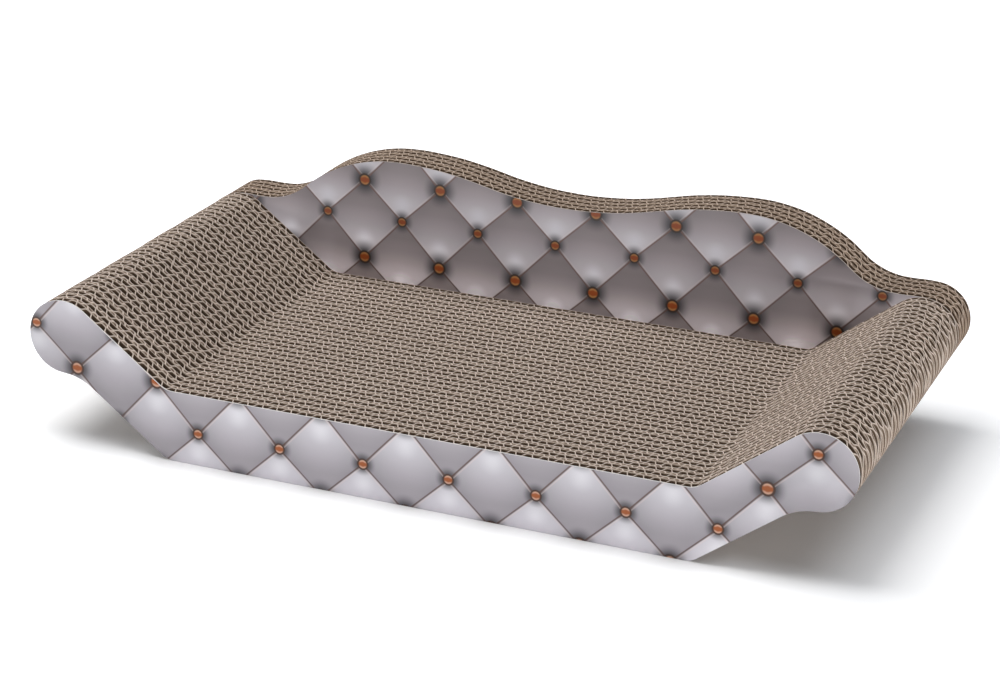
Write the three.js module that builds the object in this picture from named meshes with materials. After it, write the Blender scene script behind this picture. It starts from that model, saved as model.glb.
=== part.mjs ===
// Cat scratcher sofa: a low couch of corrugated cardboard. Die-cut boards stand on edge side by side
// and are glued face to face from front to back, so the cut edges make the scratching surface.
// Every board is the same sideways section of the couch; the rearmost ones rise into a backrest.
// Millimetres, +X along the couch, -Y to the front, +Z up, origin on the floor under the middle.
import * as THREE from "three";

// Seat and arms
const seatWidth = 289.5; // between the lower ends of the two arm slopes
const seatHeight = 39.1;
const armRun = 80.2; // from the end of the seat out to the edge of the arm roll
const armRise = 39.9; // from the seat up to the top of the arm roll
const armThickness = 31.2; // across the sloping part of an arm
const rollOverhang = 9.1; // how much thicker the arm roll is than the arm below it
const seatFillet = 12; // inside corner between seat and arm
const baseFillet = 10; // outside corner between floor and arm
const underRollFillet = 30; // inside corner below the arm roll

// Backrest
const backRise = 32.5; // from the top of the arms up to the two humps
const crestDip = 12.7; // from the humps down to the dip between them
const humpSpacing = 207;
const humpRadius = 91; // outer flank of a hump
const shoulderSetback = 15.5; // from the middle of the arm roll in to the foot of the shoulder
const sharpestFoot = 5; // least radius at the foot of the shoulder

// Boards
const facingBoard = 4.6; // single-wall board with a printed front
const stackBoard = 6.05; // double-wall board
const glueLine = 0.12;
const seatBoards = 32;
const backBoards = 4;

const chordError = 0.12; // how far a flat may lie inside the curve that it stands for

// Sizes that follow
const rollRadius = (armThickness + rollOverhang) / 2;
const seatEnd = new THREE.Vector2(seatWidth / 2, seatHeight);
const rollCentre = new THREE.Vector2(armRun - rollRadius, armRise - rollRadius).add(seatEnd);
const armTop = rollCentre.y + rollRadius;

// The arm slope leaves the end of the seat and touches the arm roll.
const toRoll = rollCentre.clone().sub(seatEnd);
const slope = toRoll.angle() + Math.asin(rollRadius / toRoll.length());

// Points along an arc, both ends included, close enough together to keep the chord error.
function arc(x, y, radius, from, to) {
  const widest = 2 * Math.acos(1 - Math.min(chordError / radius, 1));
  const steps = Math.ceil(Math.abs(to - from) / widest);
  const points = [];
  for (let i = 0; i <= steps; i++) {
    const angle = from + ((to - from) * i) / steps;
    points.push(new THREE.Vector2(x + radius * Math.cos(angle), y + radius * Math.sin(angle)));
  }
  return points;
}

// Underside of the right arm, from the floor out to the arm roll, and where it meets the roll.
function underArm() {
  const heel = seatEnd.x + (armThickness - seatHeight * Math.cos(slope)) / Math.sin(slope);
  const heelSetback = baseFillet * Math.tan(slope / 2);
  const rollReach = Math.sqrt(rollOverhang * (armThickness + 2 * underRollFillet));
  const rollDrop = underRollFillet + armThickness - rollRadius;
  const rollStart = slope + Math.atan2(-rollDrop, -rollReach);
  const span = rollRadius + underRollFillet;
  const filletX = rollCentre.x + span * Math.cos(rollStart);
  const filletY = rollCentre.y + span * Math.sin(rollStart);
  const heelArc = arc(heel - heelSetback, baseFillet, baseFillet, -Math.PI / 2, slope - Math.PI / 2);
  const rollArc = arc(filletX, filletY, underRollFillet, slope + Math.PI / 2, rollStart + Math.PI);
  return { points: [...heelArc, ...rollArc.slice(0, -1)], rollStart };
}

// Arm roll from its underside round to the given angle.
function armRoll(rollStart, rollEnd) {
  return arc(rollCentre.x, rollCentre.y, rollRadius, rollStart, rollEnd);
}

// Right half of a board that makes the seat and the arms.
function seatHalf() {
  const { points, rollStart } = underArm();
  const setback = seatFillet * Math.tan(slope / 2);
  const corner = arc(
    seatEnd.x - setback,
    seatHeight + seatFillet,
    seatFillet,
    slope - Math.PI / 2,
    -Math.PI / 2,
  );
  return [...points, ...armRoll(rollStart, slope + Math.PI / 2), ...corner];
}

// Right half of a board that makes the backrest. Two S-curves, level at both ends, lead from the
// arm up over the hump and from the hump down to the dip in the middle.
function backHalf() {
  const { points, rollStart } = underArm();
  const foot = rollCentre.x - shoulderSetback;
  const hump = humpSpacing / 2;
  const humpTop = armTop + backRise;
  const run = foot - hump;
  const shoulderRadii = (run ** 2 + backRise ** 2) / (2 * backRise);
  const crown = Math.min(humpRadius, shoulderRadii - sharpestFoot);
  const footRadius = shoulderRadii - crown;
  const shoulderTurn = 2 * Math.atan2(backRise, run);
  const crestRadius = (hump ** 2 + crestDip ** 2) / (4 * crestDip);
  const crestTurn = 2 * Math.atan2(crestDip, hump);
  const up = Math.PI / 2;
  return [
    ...points,
    ...armRoll(rollStart, up),
    ...arc(foot, armTop + footRadius, footRadius, -up, -up - shoulderTurn),
    ...arc(hump, humpTop - crown, crown, up - shoulderTurn, up).slice(1, -1),
    ...arc(hump, humpTop - crestRadius, crestRadius, up, up + crestTurn),
    ...arc(0, humpTop - crestDip + crestRadius, crestRadius, crestTurn - up, -up).slice(1),
  ];
}

// Closed outline from its right half; points on the middle line are not repeated.
function mirrored(half) {
  const onAxis = (p) => Math.abs(p.x) < 1e-6;
  const left = half.filter((p) => !onAxis(p)).map((p) => new THREE.Vector2(-p.x, p.y));
  return new THREE.Shape([...half, ...left.reverse()]);
}

function kraft() {
  return new THREE.MeshStandardMaterial({ color: 0x9c8b7a, roughness: 0.95, metalness: 0 });
}

function tuftedPrint() {
  return new THREE.MeshStandardMaterial({ color: 0xb4b1b8, roughness: 0.55, metalness: 0 });
}

// Stack boards of one kind, numbered from the front.
function numbered(name, count, shape) {
  return Array.from({ length: count }, (_, i) => ({
    name: `${name}_${String(i + 1).padStart(2, "0")}`,
    thickness: stackBoard,
    shape,
    material: kraft(),
  }));
}

function facing(name, shape) {
  return { name, thickness: facingBoard, shape, material: tuftedPrint() };
}

const seatShape = mirrored(seatHalf());
const backShape = mirrored(backHalf());

// Every board in its order from front to back.
const boards = [
  facing("front_facing", seatShape),
  ...numbered("seat_board", seatBoards, seatShape),
  facing("back_facing", backShape),
  ...numbered("back_board", backBoards, backShape),
];

const depth = boards.reduce((sum, board) => sum + board.thickness + glueLine, -glueLine);

const sofa = new THREE.Group();
let front = -depth / 2;
for (const board of boards) {
  const solid = new THREE.ExtrudeGeometry(board.shape, {
    depth: board.thickness,
    bevelEnabled: false,
  });
  const mesh = new THREE.Mesh(solid, board.material);
  mesh.name = board.name;
  mesh.rotation.x = Math.PI / 2;
  mesh.position.y = front + board.thickness;
  sofa.add(mesh);
  front += board.thickness + glueLine;
}

export default sofa;
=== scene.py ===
import math
import random

import bmesh
import bpy
import numpy as np
from mathutils import Matrix, Vector


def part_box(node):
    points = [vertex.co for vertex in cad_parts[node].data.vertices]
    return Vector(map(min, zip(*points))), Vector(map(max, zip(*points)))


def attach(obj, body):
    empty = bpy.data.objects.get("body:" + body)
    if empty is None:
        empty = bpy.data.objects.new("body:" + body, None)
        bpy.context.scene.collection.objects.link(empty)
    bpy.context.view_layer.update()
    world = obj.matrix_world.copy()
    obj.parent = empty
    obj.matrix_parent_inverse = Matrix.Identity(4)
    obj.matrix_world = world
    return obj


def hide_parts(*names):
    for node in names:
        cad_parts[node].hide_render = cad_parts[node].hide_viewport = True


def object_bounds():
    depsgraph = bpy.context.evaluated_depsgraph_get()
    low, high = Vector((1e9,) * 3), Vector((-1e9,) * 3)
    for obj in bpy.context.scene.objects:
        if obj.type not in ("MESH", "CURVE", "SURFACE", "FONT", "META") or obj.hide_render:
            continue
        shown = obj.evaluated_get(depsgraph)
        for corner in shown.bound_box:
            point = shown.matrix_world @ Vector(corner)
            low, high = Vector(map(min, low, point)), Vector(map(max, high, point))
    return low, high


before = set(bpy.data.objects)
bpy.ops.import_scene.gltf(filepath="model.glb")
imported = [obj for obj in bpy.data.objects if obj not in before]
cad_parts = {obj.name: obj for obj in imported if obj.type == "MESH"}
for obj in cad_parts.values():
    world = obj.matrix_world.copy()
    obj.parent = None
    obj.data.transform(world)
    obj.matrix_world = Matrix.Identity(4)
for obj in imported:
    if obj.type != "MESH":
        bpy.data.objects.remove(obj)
cad_low, cad_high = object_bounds()

MM = 0.001

# Camera, as the photograph was taken
LENS = 94.2966
SENSOR_WIDTH = 36
CAMERA_AT = Vector((0.483524, -1.219004, 0.560240))
CAMERA_RIGHT = Vector((0.92499, 0.37937, 0.02192))
CAMERA_UP = Vector((-0.1574, 0.32998, 0.93077))

# Corrugated board, in millimetres
LINER = 0.2
CREST = 0.25  # fluted paper where it lies on a liner
# Fluted paper where it crosses between the liners, with its frayed edge
FINE_FLANK, COARSE_FLANK = 0.7, 0.45
PRINT_SHEET = 0.7  # printed sheet of a facing
FINE_PITCH = 5.87  # finer flutes, behind the front liner of a stack board
COARSE_PITCH = 8.29  # coarser flutes, and those of the facings
FINE_SHARE = 0.36  # of a stack board's depth between its liners
LINER_WAVES = ((8.3, 0.05), (23.0, 0.08))  # lengths over which liners bend, and how far
# Lengths over which flutes drift, and by how many radians
FLUTE_WANDER = ((170.0, 0.3), (31.0, 0.2))
FLUTE_STEEPNESS = 3.0  # flat crests and steep flanks; near 0 is a plain wave
HEIGHT_SPREAD = 0.18  # how far the boards' cut edges differ in height
GLUE_GAP = 0.01  # left between glued boards, too thin to see through
BOARD_SEED = 7

# Mesh of a board, in millimetres and radians
POINTS_PER_FLUTE = 20
LINER_STEP = 1.5
END_ROUND = 20.0  # radius of the rounded ends, over which the columns close up
END_STEP = math.radians(4)
END_TURN = math.radians(38)
END_TRIM = 0.01  # cut off the ends, where the outline has no height
STRAIGHT = 20.0  # longest chord of a curve in the outline; a longer one is a straight edge
CURVE_STEP = 0.3
UPRIGHT_EDGE = 1e-7  # metres along the couch; a shorter edge of the frame's mesh is upright
CROSSING_SLACK = 2e-6  # metres by which an edge may miss a corner that it ends at

# Paper: sizes of its marks in metres, tones as 0 to 255
FIBRE = (6 * MM, 1.5 * MM, 1.5 * MM)
UPRIGHT_FIBRE = (1.5 * MM, 1.5 * MM, 6 * MM)
SPECK = (0.5 * MM,) * 3
CLOUD = (40 * MM,) * 3
SCRAP = (1.8 * MM, 1.0 * MM, 0.7 * MM)
FIBRE_SHARE, SPECK_SHARE, CLOUD_SHARE = 0.5, 0.3, 0.2  # in the tone of a paper's face
DARK_SCRAP, PALE_SCRAP = (92, 76, 62), (200, 184, 166)
PAPER_RELIEF = 0.15 * MM
FLANK_LIGHT = 0.25  # how much deeper light reaches on the flanks than on the crests
END_LIGHT = 0.2  # depth that a millimetre counts for, inward from the open ends of a board
FLUTE_BLOTCH = 0.12  # how unevenly light reaches in, as a share of the deepest stop
# Pale and dark tone of a paper
KRAFT = (172, 153, 135), (138, 121, 105)
CUT_EDGE = (222, 207, 196), (196, 181, 169)
WHITE_EDGE = (240, 238, 236), (215, 212, 210)
GREY_EDGE = (190, 180, 172), (168, 158, 150)
# Fluted paper: its own tone at the cut, then painted shade that darkens it deeper inside the flutes
COARSE_SHADE_BY_DEPTH = [  # by millimetres inside the cut
    (0.0, (142, 123, 107)),
    (0.4, (98, 81, 67)),
    (0.9, (68, 54, 43)),
    (4.0, (51, 40, 30)),
]
FINE_SHADE_BY_DEPTH = [
    (0.0, (190, 172, 156)),
    (0.5, (150, 132, 116)),
    (1.2, (110, 93, 79)),
    (4.0, (64, 51, 41)),
]
FULL_TONE = (1.0, 1.0, 1.0)
# Painted shade: the backrest's boards are the seat's boards made darker and warmer
BACKREST_PAINTED_SHADE = (0.78, 0.73, 0.68)  # share of the seat's tones that the backrest's boards have

# Diamond-tufted print, in millimetres
TUFT = 47.24  # between buttons of one row
# Between rows of like buttons, and from a row of large buttons up to the next row of small ones
FRONT_RISE, FRONT_SMALL_RISE = 47.5, 22.0
BACK_RISE, BACK_SMALL_RISE = 46.86, 22.18
FRONT_BUTTON = Vector((-149.79, 0, 43.15))  # a large button of the front print
BACK_BUTTON = Vector((-125.0, 0, 98.5))
FRONT_TURN = -0.0082  # radians
BACK_TURN = math.pi  # the back print stands on its head
LAST_BACK_BUTTON = 60.0  # along the back print; the photo shows no button past it
SPOT_DROP, SPOT_WIDTH, SPOT_HEIGHT = 10.5, 8.5, 8.5  # highlight below a button
SPOT_STRENGTH = 0.55
SHOULDER_FALL, SHOULDER_LEAST = 0.0007, 0.72  # how a puff darkens to its sides
DIP_MIDDLE = 2.4  # radius round a button in which a dip is deepest
# Tone of the printed dips round the buttons, and of the painted shade over a print's top
DIP_AND_PAINTED_SHADE_TONE = (20, 22, 28)
# Span of the print's up over which painted shade darkens its top
TOP_SHADE_SPAN = (-10.0, 50.0)
SEAM_SPACING = 33.0  # between parallel seams
SEAM_SPREAD = (0.15, 0.72)  # half the width where a seam is darkest, and where it ends
SEAM_STRENGTH = 0.85
SEAM_TONE = (92, 66, 58)
FOLD_OFFSET = 1.05  # of the pale line beside a seam
FOLD_SPREAD = (0.05, 0.55)
FOLD_TONE = (244, 218, 208)
LARGE_BUTTON = 3.6
SMALL_BUTTON = 2.9
# In radii of a button
SHEEN_HEIGHT, SHEEN_RING = (0.15, 0.55), (0.3, 0.65)
SHEEN_STRENGTH = 0.9
RIM_RING, OUTER_RING = (0.66, 0.88), (1.0, 1.2)
GRAIN = (0.6 * MM,) * 3
GRAIN_STRENGTH = 0.06
GRAIN_TONE = (120, 116, 122)
PRINT_RELIEF = 0.1 * MM

# Studio, in metres and watts
LAMPS = {  # place, aim, size and power
    "overhead": ((-0.45, -0.05, 1.65), (0, 0, 0), (1.3, 1.3), 24.5),
    "low front": ((0.05, -0.8, 0.07), (0, -0.1, 0.04), (1.0, 0.12), 1.7),
    "low left": ((-1.1, -0.3, 0.3), (0, -0.05, 0.04), (0.5, 0.2), 2.0),
    "low right": ((1.25, -0.15, 0.045), (0.2, 0, 0.05), (0.22, 0.08), 6.5),
}
WORLD_LIGHT = 0.12
FLOOR_HALF = 6
FLOOR_DROP = 0.1 * MM  # below the couch, so that the two don't share a plane
FLOOR_TONE = (0.95, 0.95, 0.95, 1)
GLOW_TONE = (0.92, 0.95, 1, 1)
# How far inside the couch's right, left and front edge the floor's glow begins, and the length
# over which it grows
RIGHT_GLOW = (38 * MM, 58 * MM)
LEFT_GLOW = (60 * MM, 140 * MM)
FRONT_GLOW = (4 * MM, 45 * MM)
UNDER_ARM = (140 * MM, 165 * MM)  # from the couch's middle; here the glow begins further in
UNDER_ARM_INSET = 20 * MM
NEAR_GLOW = (0.03, 0.42)
FAR_GLOWS = ((0.0, 0.27, 0.31), (0.4, 2.5, 0.3))  # from and to which distance, and how strong

# Finishes of a board, in the order in which it holds them
COARSE, CUT, KRAFT_FACE, FINE = range(4)  # stack boards
PRINT, PRINT_CUT = 2, 3  # facings, after the same first two

BELOW_UPPER_CUT = "below_upper_cut"
ABOVE_LOWER_CUT = "above_lower_cut"
FRONT_FACING = "front_facing"
BACK_FACING = "back_facing"
STACK_BOARDS = sorted(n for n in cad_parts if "_board_" in n)
BOARD_FRONTS = sorted(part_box(n)[0].y for n in (FRONT_FACING, BACK_FACING, *STACK_BOARDS))


def srgb(red, green, blue, shade=FULL_TONE):
    """Linear colour of a colour given as 0 to 255, of which shade is the share that is kept."""
    def linear(value):
        share = value / 255
        return share / 12.92 if share <= 0.04045 else ((share + 0.055) / 1.055) ** 2.4
    return (linear(red) * shade[0], linear(green) * shade[1], linear(blue) * shade[2], 1.0)


# Node helpers

class Signal:
    """A number or colour that varies over a surface; sums on it become nodes."""

    def __init__(self, tree, socket):
        self.tree = tree
        self.socket = socket

    def math(self, operation, *others):
        node = self.tree.nodes.new("ShaderNodeMath")
        node.operation = operation
        for slot, value in zip(node.inputs, (self, *others)):
            feed(self.tree, slot, value)
        return Signal(self.tree, node.outputs[0])

    def __add__(self, other):
        return self.math("ADD", other)

    def __sub__(self, other):
        return self.math("SUBTRACT", other)

    def __mul__(self, other):
        return self.math("MULTIPLY", other)

    def __truediv__(self, other):
        return self.math("DIVIDE", other)

    def fract(self):
        return self.math("FRACT")

    def size(self):
        return self.math("ABSOLUTE")

    def most(self, other):
        return self.math("MAXIMUM", other)

    def least(self, other):
        return self.math("MINIMUM", other)

    def around(self, period):
        """Distance from the nearest multiple of period."""
        return self.math("WRAP", period / 2, -period / 2)

    def far_from(self, other):
        """Length of the diagonal of two distances."""
        return (self * self + other * other).math("SQRT")

    def ease(self, start, end, low=0.0, high=1.0):
        """Smooth step from low to high."""
        node = self.tree.nodes.new("ShaderNodeMapRange")
        node.interpolation_type = "SMOOTHSTEP"
        feed(self.tree, node.inputs["Value"], self)
        for slot, value in zip(node.inputs[1:5], (start, end, low, high)):
            slot.default_value = value
        return Signal(self.tree, node.outputs[0])

    def ramp(self, stops):
        """Colour by value, from (position, colour) stops."""
        node = self.tree.nodes.new("ShaderNodeValToRGB")
        node.color_ramp.interpolation = "LINEAR"
        elements = node.color_ramp.elements
        while len(elements) < len(stops):
            elements.new(0.5)
        for element, (position, colour) in zip(elements, stops):
            element.position = position
            element.color = colour
        feed(self.tree, node.inputs[0], self)
        return Signal(self.tree, node.outputs["Color"])


def feed(tree, slot, value):
    if isinstance(value, Signal):
        tree.links.new(value.socket, slot)
    else:
        slot.default_value = value


def mixed(factor, under, over, blend="MIX"):
    """Colour over laid on colour under."""
    node = factor.tree.nodes.new("ShaderNodeMix")
    node.data_type = "RGBA"
    node.blend_type = blend
    feed(factor.tree, node.inputs[0], factor)
    feed(factor.tree, node.inputs[6], under)
    feed(factor.tree, node.inputs[7], over)
    return Signal(factor.tree, node.outputs[2])


def lifted(colour, amount, gain):
    """Colour made brighter by painted light, up to gain times."""
    return mixed(amount, colour, (gain, gain, gain, 1), "MULTIPLY")


def new_finish(name):
    material = bpy.data.materials.new(name)
    material.use_nodes = True
    tree = material.node_tree
    shader = tree.nodes["Principled BSDF"]
    return material, tree, shader


def placed(tree, at=(0, 0, 0), turn=(0, 0, 0), scale=(1, 1, 1)):
    """Object coordinates, seen from a place, turned and in steps of scale."""
    coordinates = tree.nodes.new("ShaderNodeTexCoord")
    mapping = tree.nodes.new("ShaderNodeMapping")
    mapping.vector_type = "TEXTURE"
    mapping.inputs["Location"].default_value = at
    mapping.inputs["Rotation"].default_value = turn
    mapping.inputs["Scale"].default_value = scale
    tree.links.new(coordinates.outputs["Object"], mapping.inputs["Vector"])
    return mapping.outputs["Vector"]


def along(tree, vector):
    """The three parts of a vector."""
    split = tree.nodes.new("ShaderNodeSeparateXYZ")
    tree.links.new(vector, split.inputs[0])
    return [Signal(tree, part) for part in split.outputs]


def noise(tree, size, detail, roughness=0.55):
    """Cloudy pattern with marks of about the given size."""
    node = tree.nodes.new("ShaderNodeTexNoise")
    node.inputs["Scale"].default_value = 1.0
    node.inputs["Detail"].default_value = detail
    node.inputs["Roughness"].default_value = roughness
    tree.links.new(placed(tree, scale=size), node.inputs["Vector"])
    return Signal(tree, node.outputs[0])


def surfaced(tree, shader, colour, rough, gloss, height, strength, relief):
    """Give a shader its colour, its roughness and gloss, and a fine relief."""
    tree.links.new(colour.socket, shader.inputs["Base Color"])
    tree.links.new(rough.socket, shader.inputs["Roughness"])
    shader.inputs["Specular IOR Level"].default_value = gloss
    bump = tree.nodes.new("ShaderNodeBump")
    bump.inputs["Strength"].default_value = strength
    bump.inputs["Distance"].default_value = relief
    tree.links.new(height.socket, bump.inputs["Height"])
    tree.links.new(bump.outputs["Normal"], shader.inputs["Normal"])


# Finishes

def kraft_finish(name, pale, dark, bars=0.0, flecks=0.0, shade=FULL_TONE):
    """Dull paper with long fibres and fine specks; bars are the flutes that show through it."""
    material, tree, shader = new_finish(name)
    fibres = noise(tree, FIBRE, 6.0, 0.6)
    specks = noise(tree, SPECK, 2.0)
    clouds = noise(tree, CLOUD, 2.0)
    across = along(tree, placed(tree, scale=(MM,) * 3))[0]
    flute = (across * (2 * math.pi / COARSE_PITCH)).math("SINE")
    tone = fibres * FIBRE_SHARE + specks * SPECK_SHARE + clouds * CLOUD_SHARE + flute * bars
    colour = tone.ramp([(0.32, srgb(*dark, shade)), (0.68, srgb(*pale, shade))])
    scraps = noise(tree, SCRAP, 1.0)
    colour = mixed(scraps.ease(0.66, 0.74, 0.0, flecks), colour, srgb(*DARK_SCRAP))
    colour = mixed(scraps.ease(0.26, 0.34, flecks, 0.0), colour, srgb(*PALE_SCRAP))
    rough = tone.ease(0.3, 0.7, 0.98, 0.84)
    surfaced(tree, shader, colour, rough, 0.2, fibres + specks, 0.25, PAPER_RELIEF)
    return material


def flute_finish(name, stops, shade=FULL_TONE):
    """Paper in the open flutes, in painted shade that deepens with how many millimetres inside the
    cut it lies.
    """
    material, tree, shader = new_finish(name)
    from_end = along(tree, placed(tree, scale=(MM,) * 3))[0].size() * -1.0 + cad_high.x / MM
    inside = from_end * END_LIGHT
    for cut in (BELOW_UPPER_CUT, ABOVE_LOWER_CUT):
        node = tree.nodes.new("ShaderNodeAttribute")
        node.attribute_name = cut
        inside = inside.least(Signal(tree, node.outputs["Fac"]))
    normal = tree.nodes.new("ShaderNodeNewGeometry").outputs["Normal"]
    flank = along(tree, normal)[0].size().ease(0.2, 0.9)
    inside = inside * (flank * -FLANK_LIGHT + 1.0)
    fibres = noise(tree, UPRIGHT_FIBRE, 5.0, 0.6)
    deepest, darkest = stops[-1]
    # Painted shade, uneven and darker still in blotches
    reach = inside / deepest + fibres * FLUTE_BLOTCH - FLUTE_BLOTCH / 2
    colour = reach.ramp([(depth / deepest, srgb(*tone, shade)) for depth, tone in stops])
    colour = mixed(fibres.ease(0.3, 0.7, 0.0, 0.35), colour, srgb(*darkest, shade))
    rough = fibres.ease(0.3, 0.7, 0.98, 0.86)
    surfaced(tree, shader, colour, rough, 0.15, fibres, 0.2, PAPER_RELIEF)
    return material


def tufted_finish(
    name, button, turned, rises, puff_stops, spot, copper, pale_fold, dips, dip_squash, painted_lift,
    top_shade=0.0, last_button=None, painted_button_lift=None, painted_spot_lift=None, painted_end_lifts=(),
):
    """Diamond-tufted upholstery, printed: puffed diamonds, stitched seams and buttons.

    The print's own up is where its small buttons stand above the large ones. top_shade darkens the
    top with painted shade; the painted lifts each give a span over which painted light makes the
    tones brighter, and how many times."""
    material, tree, shader = new_finish(name)
    rise, small_rise = rises
    vector = placed(tree, at=button * MM, turn=(0, turned, 0), scale=(MM,) * 3)
    across, _, up = along(tree, vector)

    # Place on the nearest large and on the nearest small button
    on_large = across.around(TUFT), up.around(rise)
    on_small = (across - TUFT / 2).around(TUFT), (up - small_rise).around(rise)
    large, small = (aside.far_from(above) for aside, above in (on_large, on_small))

    # Rows of small buttons come at the half steps, so that every seam is a straight diagonal.
    black, grey, white = ((v, v, v, 1) for v in (0.0, 0.5, 1.0))
    step = (up / rise).fract().ramp([(0, black), (small_rise / rise, grey), (1, white)])
    falling = across / TUFT + step
    rising = across / TUFT - step
    drop = (rising.fract() - falling.fract() + 1.0) * 0.5
    aside = (rising.fract() + falling.fract() - 1.0) * (TUFT / 2)

    puff = drop.ramp([(share, srgb(*tone)) for share, tone in puff_stops])
    from_spot = (aside / SPOT_WIDTH).far_from((drop * rise - SPOT_DROP) / SPOT_HEIGHT)
    puff = mixed(from_spot.ease(0.0, 1.0, SPOT_STRENGTH, 0.0), puff, srgb(*spot))
    shoulder = (aside * aside).math("MULTIPLY_ADD", -SHOULDER_FALL, 1.0).most(SHOULDER_LEAST)
    sunk = 0.0
    for (beside, above), (depth, reach) in zip((on_large, on_small), dips):
        below = (above * -1.0).most(0.0)
        dip = beside.far_from(above - below * dip_squash).ease(DIP_MIDDLE, reach, depth, 0.0)
        sunk = dip.most(sunk)
    cushion = mixed(shoulder * (sunk * -1.0 + 1.0), srgb(*DIP_AND_PAINTED_SHADE_TONE), puff)
    # Painted shade darkens the top; painted light brightens the spans of the lifts
    cushion = mixed(up.ease(*TOP_SHADE_SPAN, top_shade, 0.0), cushion, srgb(*DIP_AND_PAINTED_SHADE_TONE))
    span, gain = painted_lift
    cushion = lifted(cushion, up.ease(*span), gain)
    if painted_spot_lift:
        span, gain = painted_spot_lift
        cushion = lifted(cushion, from_spot.ease(0.0, 1.0, 1.0, 0.0) * up.ease(*span), gain)
    for end, span, gain in painted_end_lifts:
        cushion = lifted(cushion, across.ease(*end) * up.ease(*span), gain)

    # Signed distance across each seam; the pale stitch line lies on its lower side.
    over_falling = (falling + 0.5).fract() * SEAM_SPACING - SEAM_SPACING / 2
    over_rising = (rising + 0.5).fract() * SEAM_SPACING - SEAM_SPACING / 2
    seam = over_falling.size().least(over_rising.size()).ease(*SEAM_SPREAD, 1.0, 0.0)
    fold = (over_falling + FOLD_OFFSET).size().least((over_rising - FOLD_OFFSET).size())
    stitched = mixed(fold.ease(*FOLD_SPREAD, pale_fold, 0.0), cushion, srgb(*FOLD_TONE))
    stitched = mixed(seam * SEAM_STRENGTH, stitched, srgb(*SEAM_TONE))

    # A button is paler above and below its middle and has a dark rim.
    ring, height = large / LARGE_BUTTON, (on_large[1] / LARGE_BUTTON).size()
    nearer = (large - small).math("GREATER_THAN", 0.0)
    ring = ring + (small / SMALL_BUTTON - ring) * nearer
    height = height + ((on_small[1] / SMALL_BUTTON).size() - height) * nearer
    middle, crescent, rim = (srgb(*tone) for tone in copper)
    sheen = height.ease(*SHEEN_HEIGHT) * ring.ease(*SHEEN_RING, 0.0, SHEEN_STRENGTH)
    face = mixed(sheen, middle, crescent)
    face = mixed(ring.ease(*RIM_RING), face, rim)
    # Painted light brightens the buttons over a span of the print's up
    if painted_button_lift:
        span, gain = painted_button_lift
        face = lifted(face, up.ease(*span), gain)
    shown = ring.ease(*OUTER_RING, 1.0, 0.0)
    if last_button:
        shown = shown * across.math("LESS_THAN", last_button)
    printed = mixed(shown, stitched, face)
    grain = noise(tree, GRAIN, 3.0)
    printed = mixed(grain * GRAIN_STRENGTH, printed, srgb(*GRAIN_TONE))
    rough = grain.ease(0.2, 0.8, 0.62, 0.5)
    surfaced(tree, shader, printed, rough, 0.25, grain, 0.08, PRINT_RELIEF)
    return material


# Board outlines, from the frame

def outline_loop(node):
    """Corners of a board's outline in order, from its leftmost corner along its lower edge."""
    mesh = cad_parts[node].data
    flat = np.array([v.co for v in mesh.vertices])[:, [0, 2]]
    starts, ends = flat[np.array([e.vertices for e in mesh.edges]).T]
    runs = np.abs(ends[:, 0] - starts[:, 0]) > UPRIGHT_EDGE
    starts, ends = starts[runs], ends[runs]
    corners = np.unique(np.round(flat, 6), axis=0)

    def middle(x):
        run = ends[:, 0] - starts[:, 0]
        share = (x - starts[:, 0]) / run
        crossing = np.abs(share - 0.5) < 0.5 + CROSSING_SLACK / np.abs(run)
        heights = starts[:, 1] + share * (ends[:, 1] - starts[:, 1])
        return (heights[crossing].max() + heights[crossing].min()) / 2

    lower = np.array([z <= middle(x) for x, z in corners])
    return np.concatenate([corners[lower], corners[~lower][::-1]])


def smooth_edges(node):
    """Lower and upper edge of a board as dense points from left to right."""
    loop = outline_loop(node)
    chords = np.roll(loop, -1, axis=0) - loop
    lengths = np.linalg.norm(chords, axis=1)
    ways = chords / lengths[:, None]
    before, after = np.roll(lengths, 1), lengths
    blend = np.roll(ways, 1, axis=0) * after[:, None] + ways * before[:, None]
    straight = STRAIGHT * MM
    blend[after > straight] = ways[after > straight]
    blend[before > straight] = np.roll(ways, 1, axis=0)[before > straight]
    ways_at = blend / np.linalg.norm(blend, axis=1)[:, None]
    points = []
    for i, length in enumerate(lengths):
        j = (i + 1) % len(loop)
        t = np.linspace(0, 1, max(2, int(length / (CURVE_STEP * MM))), endpoint=False)[:, None]
        points.append(
            loop[i] * (1 - 3 * t**2 + 2 * t**3)
            + loop[j] * (3 * t**2 - 2 * t**3)
            + ways_at[i] * length * (t - 2 * t**2 + t**3)
            + ways_at[j] * length * (t**3 - t**2)
        )
    dense = np.concatenate(points)
    dense = np.roll(dense, -int(dense[:, 0].argmin()), axis=0)
    far = int(dense[:, 0].argmax())
    return dense[: far + 1], dense[far:][::-1]


class Outline:
    """Height of a board's lower and upper edge at any place along the couch."""

    def __init__(self, node):
        self.lower, self.upper = smooth_edges(node)
        self.reach = min(self.lower[-1, 0], -self.lower[0, 0]) - END_TRIM * MM

    def low(self, x):
        return np.interp(x, self.lower[:, 0], self.lower[:, 1])

    def high(self, x):
        return np.interp(x, self.upper[:, 0], self.upper[:, 1])

    def columns(self, step):
        """Places along the couch a step apart, closing up over the rounded ends."""
        turns = np.arange(0, END_TURN, END_STEP)
        ends = self.reach - END_ROUND * MM * (1 - np.cos(turns))
        inner = np.arange(-ends[-1] + step, ends[-1], step)
        return np.concatenate([-ends, inner, ends[::-1]])


# Boards

def new_board():
    bm = bmesh.new()
    for cut in (BELOW_UPPER_CUT, ABOVE_LOWER_CUT):
        bm.verts.layers.float.new(cut)
    return bm


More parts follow.
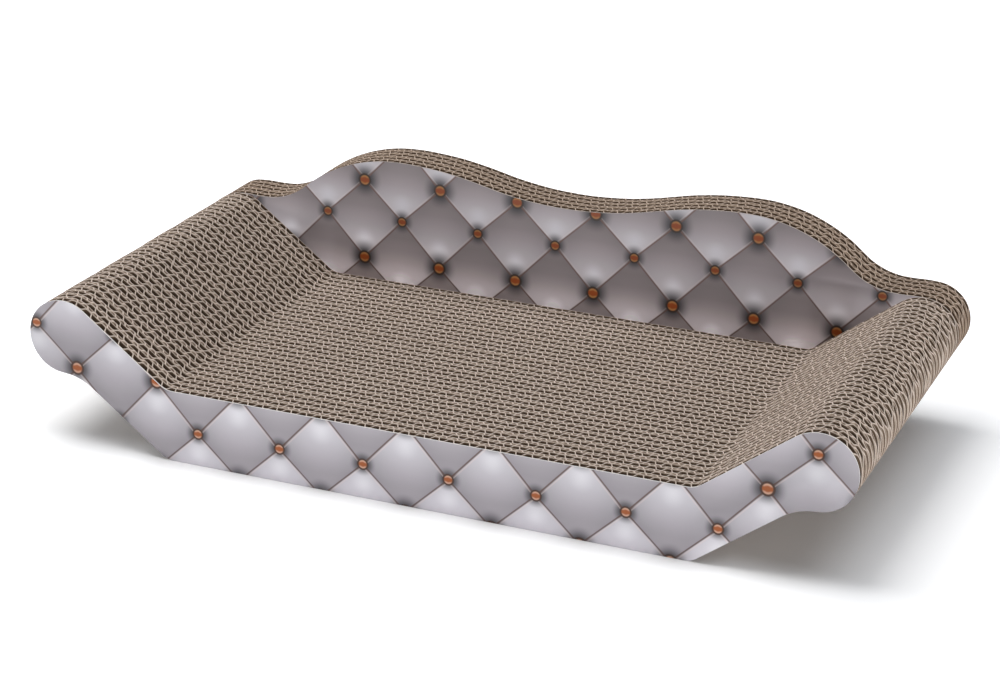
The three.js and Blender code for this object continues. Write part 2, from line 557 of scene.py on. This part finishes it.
def mark_cuts(bm, corners, outline):
    """How many millimetres each corner lies below the upper cut and above the lower one."""
    below, above = (bm.verts.layers.float[cut] for cut in (BELOW_UPPER_CUT, ABOVE_LOWER_CUT))
    corners = list(corners)
    x, z = np.array([(corner.co.x, corner.co.z) for corner in corners]).T
    low, high = outline.low(x), outline.high(x)
    height = (high - low) / MM
    upper = z > (low + high) / 2
    for corner, tall, is_upper in zip(corners, height, upper):
        corner[below] = 0.0 if is_upper else tall
        corner[above] = tall if is_upper else 0.0


def paper_sheet(bm, outline, columns, front, back, faces, rise=0.0):
    """An upright sheet from front[i] to back[i] deep at columns[i]; faces are its front, back and
    cut-edge finishes."""
    known_corners = set(bm.verts)
    last = len(columns) - 1
    low = outline.low(columns)
    high = outline.high(columns) + rise
    grid = bmesh.ops.create_grid(bm, x_segments=last, y_segments=1, size=1)["verts"]
    for corner in grid:
        i = round((corner.co.x + 1) / 2 * last)
        height = high[i] if corner.co.y > 0 else low[i]
        corner.co = (columns[i], front[i], height)
    front_corners = set(grid)
    front_faces = {face for corner in grid for face in corner.link_faces}
    known = set(bm.faces) - front_faces
    bmesh.ops.extrude_face_region(bm, geom=list(front_faces), use_keep_orig=True)
    corners = set(bm.verts) - known_corners
    for corner in corners - front_corners:
        corner.co.y = back[np.abs(columns - corner.co.x).argmin()]
    mark_cuts(bm, corners, outline)
    for face in set(bm.faces) - known:
        shared = sum(corner in front_corners for corner in face.verts)
        face.material_index = faces[0] if shared == 4 else faces[1] if shared == 0 else faces[2]
        face.smooth = shared != 2


def bent_liner(front, inward, draw):
    """Front of a liner at each column: it bends inward from its place here and there."""
    waves = [(length, depth, draw.uniform(0, 2 * math.pi)) for length, depth in LINER_WAVES]

    def at(columns):
        bend = sum(
            depth * MM * (1 + np.sin(2 * math.pi * columns / (length * MM) + start))
            for length, depth, start in waves
        )
        return front + inward * bend
    return at


def flutes(columns, pitch, flank, low, high, draw):
    """Front and back of a fluted paper that fills the room from low to high, at each column."""
    turn = 2 * math.pi * columns / pitch + draw.uniform(0, 2 * math.pi)
    for length, drift in FLUTE_WANDER:
        turn += drift * np.sin(2 * math.pi * columns / (length * MM) + draw.uniform(0, 2 * math.pi))
    crest = CREST * MM
    half_flank = math.sin(math.pi * flank / pitch)
    return [
        (low + high + side * crest) / 2
        + (high - low - crest) / 2 * np.tanh(FLUTE_STEEPNESS * (np.sin(turn) + side * half_flank))
        for side in (-1, 1)
    ]


def glued_rear(rear):
    """Rear of a board that is glued to the one behind it; the last board keeps its own."""
    return min((front - GLUE_GAP * MM for front in BOARD_FRONTS if front > rear), default=rear)


def finished_board(name, node, bm, finishes):
    bmesh.ops.recalc_face_normals(bm, faces=bm.faces)
    mesh = bpy.data.meshes.new(name)
    bm.to_mesh(mesh)
    bm.free()
    for finish in finishes:
        mesh.materials.append(finish)
    board = bpy.data.objects.new(name, mesh)
    bpy.context.scene.collection.objects.link(board)
    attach(board, "root")
    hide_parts(node)


def stack_board(node, outline, finishes, draw):
    """Double-wall board: three liners with finer flutes in front and coarser ones behind."""
    low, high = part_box(node)
    liner = LINER * MM
    middle = low.y + liner + (high.y - low.y - 3 * liner) * FINE_SHARE
    rise = draw.uniform(-HEIGHT_SPREAD, HEIGHT_SPREAD) * MM
    bm = new_board()
    flat = outline.columns(LINER_STEP * MM)
    liners = [
        bent_liner(front, inward, draw)
        for front, inward in ((low.y, 1), (middle, 1), (glued_rear(high.y) - liner, -1))
    ]
    sides = (FINE, FINE, CUT), (FINE, COARSE, CUT), (COARSE, KRAFT_FACE, CUT)
    for front, faces in zip(liners, sides):
        paper_sheet(bm, outline, flat, front(flat), front(flat) + liner, faces, rise)
    for pitch, flank, ahead, behind, wall in (
        (FINE_PITCH * MM, FINE_FLANK * MM, liners[0], liners[1], FINE),
        (COARSE_PITCH * MM, COARSE_FLANK * MM, liners[1], liners[2], COARSE),
    ):
        columns = outline.columns(pitch / POINTS_PER_FLUTE)
        front, back = flutes(columns, pitch, flank, ahead(columns) + liner, behind(columns), draw)
        paper_sheet(bm, outline, columns, front, back, (wall, wall, CUT), rise)
    finished_board(f"corrugated_{node}", node, bm, finishes)


def facing_board(node, outline, finishes, draw):
    """Single-wall board with a printed sheet on its face."""
    low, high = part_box(node)
    liner, sheet = LINER * MM, PRINT_SHEET * MM
    rear = glued_rear(high.y)
    bm = new_board()
    flat = outline.columns(LINER_STEP * MM)
    for front, back, faces in (
        (low.y, low.y + sheet, (PRINT, COARSE, PRINT_CUT)),
        (rear - liner, rear, (COARSE, COARSE, CUT)),
    ):
        paper_sheet(bm, outline, flat, np.full(len(flat), front), np.full(len(flat), back), faces)
    pitch = COARSE_PITCH * MM
    columns = outline.columns(pitch / POINTS_PER_FLUTE)
    front, back = flutes(columns, pitch, COARSE_FLANK * MM, low.y + sheet, rear - liner, draw)
    paper_sheet(bm, outline, columns, front, back, (COARSE, COARSE, CUT))
    finished_board(f"printed_{node}", node, bm, finishes)


# Studio

def studio_camera():
    data = bpy.data.cameras.new("camera")
    data.lens = LENS
    data.sensor_width = SENSOR_WIDTH
    data.sensor_fit = "HORIZONTAL"
    camera = bpy.data.objects.new("camera", data)
    right = CAMERA_RIGHT.normalized()
    back = right.cross(CAMERA_UP).normalized()
    axes = Matrix((right, back.cross(right), back)).transposed()
    camera.matrix_world = Matrix.Translation(CAMERA_AT) @ axes.to_4x4()
    bpy.context.scene.collection.objects.link(camera)
    bpy.context.scene.camera = camera


def seen_directly(tree):
    """One where the camera sees a surface itself, in a mirror or through glass."""
    path = tree.nodes.new("ShaderNodeLightPath")
    seen = Signal(tree, path.outputs["Is Camera Ray"])
    for way in ("Is Glossy Ray", "Is Transmission Ray"):
        seen = seen.most(Signal(tree, path.outputs[way]))
    return seen


def studio_floor():
    """Pale floor with a glow around the couch that only the camera sees, which thins its shadow."""
    material, tree, shader = new_finish("pale floor")
    shader.inputs["Base Color"].default_value = FLOOR_TONE
    shader.inputs["Roughness"].default_value = 1.0
    shader.inputs["Specular IOR Level"].default_value = 0.0
    shader.inputs["Emission Color"].default_value = GLOW_TONE
    x, y, _ = along(tree, placed(tree))

    def grown(outward, edge, glow):
        inset, length = glow
        return (outward - (edge - inset)) / length

    on_right = grown(x, cad_high.x, RIGHT_GLOW)
    on_left = grown(x * -1.0, cad_high.x, LEFT_GLOW)
    beside = on_right.most(on_left).most(0.0)
    under_arm = x.size().ease(*UNDER_ARM, 0.0, UNDER_ARM_INSET)
    before = grown(y.size() + under_arm, cad_high.y, FRONT_GLOW).most(0.0)
    glow = beside.far_from(before).ease(0.0, 1.0, *NEAR_GLOW)
    away = (x.size() - cad_high.x).most(0.0).far_from((y.size() - cad_high.y).most(0.0))
    for start, end, strength in FAR_GLOWS:
        glow = glow + away.ease(start, end, 0.0, strength)
    tree.links.new((seen_directly(tree) * glow).socket, shader.inputs["Emission Strength"])
    bm = bmesh.new()
    bmesh.ops.create_grid(bm, x_segments=1, y_segments=1, size=FLOOR_HALF)
    bmesh.ops.translate(bm, verts=bm.verts, vec=(0, 0, -FLOOR_DROP))
    mesh = bpy.data.meshes.new("floor")
    bm.to_mesh(mesh)
    bm.free()
    mesh.materials.append(material)
    floor = bpy.data.objects.new("floor", mesh)
    bpy.context.scene.collection.objects.link(floor)


def soft_light(name, at, aim, size, power):
    data = bpy.data.lights.new(name, "AREA")
    data.shape = "ELLIPSE"
    data.size, data.size_y = size
    data.energy = power
    light = bpy.data.objects.new(name, data)
    light.location = at
    light.rotation_mode = "QUATERNION"
    light.rotation_quaternion = (Vector(aim) - Vector(at)).to_track_quat("-Z", "Y")
    light.visible_camera = False
    bpy.context.scene.collection.objects.link(light)


def studio_world():
    world = bpy.data.worlds.new("studio")
    bpy.context.scene.world = world
    world.use_nodes = True
    tree = world.node_tree
    background = tree.nodes["Background"]
    background.inputs["Color"].default_value = (1, 1, 1, 1)
    strength = seen_directly(tree) * (1 - WORLD_LIGHT) + WORLD_LIGHT
    tree.links.new(strength.socket, background.inputs["Strength"])


studio_camera()
studio_floor()
studio_world()
for name, lamp in LAMPS.items():
    soft_light(name, *lamp)

kraft = kraft_finish("kraft liner", *KRAFT, bars=0.035, flecks=0.5)
coarse_paper = flute_finish("coarse fluted paper", COARSE_SHADE_BY_DEPTH)
fine_paper = flute_finish("fine fluted paper", FINE_SHADE_BY_DEPTH)
cut_edge = kraft_finish("cut paper edge", *CUT_EDGE)
# Copies of the papers in painted shade, for the backrest's boards and the back facing
painted_shade_coarse_paper = flute_finish("coarse fluted paper of the backrest, in painted shade", COARSE_SHADE_BY_DEPTH, BACKREST_PAINTED_SHADE)
painted_shade_fine_paper = flute_finish("fine fluted paper of the backrest, in painted shade", FINE_SHADE_BY_DEPTH, BACKREST_PAINTED_SHADE)
painted_shade_cut_edge = kraft_finish("cut paper edge of the backrest, in painted shade", *CUT_EDGE, shade=BACKREST_PAINTED_SHADE)
white_edge = kraft_finish("white cut edge", *WHITE_EDGE)
grey_edge = kraft_finish("grey cut edge", *GREY_EDGE)
front_print = tufted_finish(
    "front tufted print", FRONT_BUTTON, FRONT_TURN, (FRONT_RISE, FRONT_SMALL_RISE),
    puff_stops=[
        (0.0, (205, 202, 208)),
        (0.2, (211, 208, 215)),
        (0.3, (206, 203, 210)),
        (0.4, (198, 194, 201)),
        (0.55, (182, 177, 184)),
        (0.7, (167, 162, 168)),
        (0.8, (161, 156, 162)),
        (1.0, (164, 159, 165)),
    ],
    spot=(238, 237, 242),
    copper=((162, 90, 50), (214, 172, 148), (72, 52, 44)),
    pale_fold=0.26,
    dips=((0.86, 10.5), (0.8, 7.8)),
    dip_squash=0.1,
    # Painted light brightens the print towards its lower edge, by the floor
    painted_lift=((-46.0, -31.0, 1.0, 0.0), 1.35),
)
# The back print is the front's print stood on its head, in painted shade: its puffs, highlight and
# buttons are darker and its top darker still (top_shade). Painted light brightens its lower edge,
# its lower buttons and highlights, and its two ends, where the seat and arms shade it
back_print = tufted_finish(
    "back tufted print in painted shade and light", BACK_BUTTON, BACK_TURN, (BACK_RISE, BACK_SMALL_RISE),
    puff_stops=[
        (0.0, (197, 191, 196)),
        (0.24, (191, 185, 190)),
        (0.33, (181, 174, 179)),
        (0.5, (158, 149, 152)),
        (0.65, (136, 127, 129)),
        (0.8, (122, 113, 114)),
        (1.0, (118, 109, 110)),
    ],
    spot=(207, 206, 213),
    copper=((116, 50, 2), (143, 97, 52), (36, 24, 15)),
    pale_fold=0.12,
    dips=((0.93, 11.3), (0.83, 7.8)),
    dip_squash=-0.1,
    painted_lift=((38.0, 60.0, 0.0, 1.0), 1.8),
    top_shade=0.17,
    last_button=LAST_BACK_BUTTON,
    painted_button_lift=((24.0, 47.0), 1.65),
    painted_spot_lift=((26.0, 36.0), 1.2),
    painted_end_lifts=(
        ((-280.0, -235.0, 1.0, 0.0), (12.0, 28.0), 1.5),
        ((-95.0, -20.0, 0.0, 1.0), (26.0, 40.0), 1.27),
    ),
)

seat_outline = Outline(FRONT_FACING)
back_outline = Outline(BACK_FACING)
seat_finishes = coarse_paper, cut_edge, kraft, fine_paper
back_finishes = painted_shade_coarse_paper, painted_shade_cut_edge, kraft, painted_shade_fine_paper
front_finishes = coarse_paper, cut_edge, front_print, white_edge
back_facing_finishes = painted_shade_coarse_paper, painted_shade_cut_edge, back_print, grey_edge

draw = random.Random(BOARD_SEED)
facing_board(FRONT_FACING, seat_outline, front_finishes, draw)
facing_board(BACK_FACING, back_outline, back_facing_finishes, draw)
for node in STACK_BOARDS:
    if node.startswith("back"):
        stack_board(node, back_outline, back_finishes, draw)
    else:
        stack_board(node, seat_outline, seat_finishes, draw)

bpy.context.scene.view_settings.view_transform = "Standard"
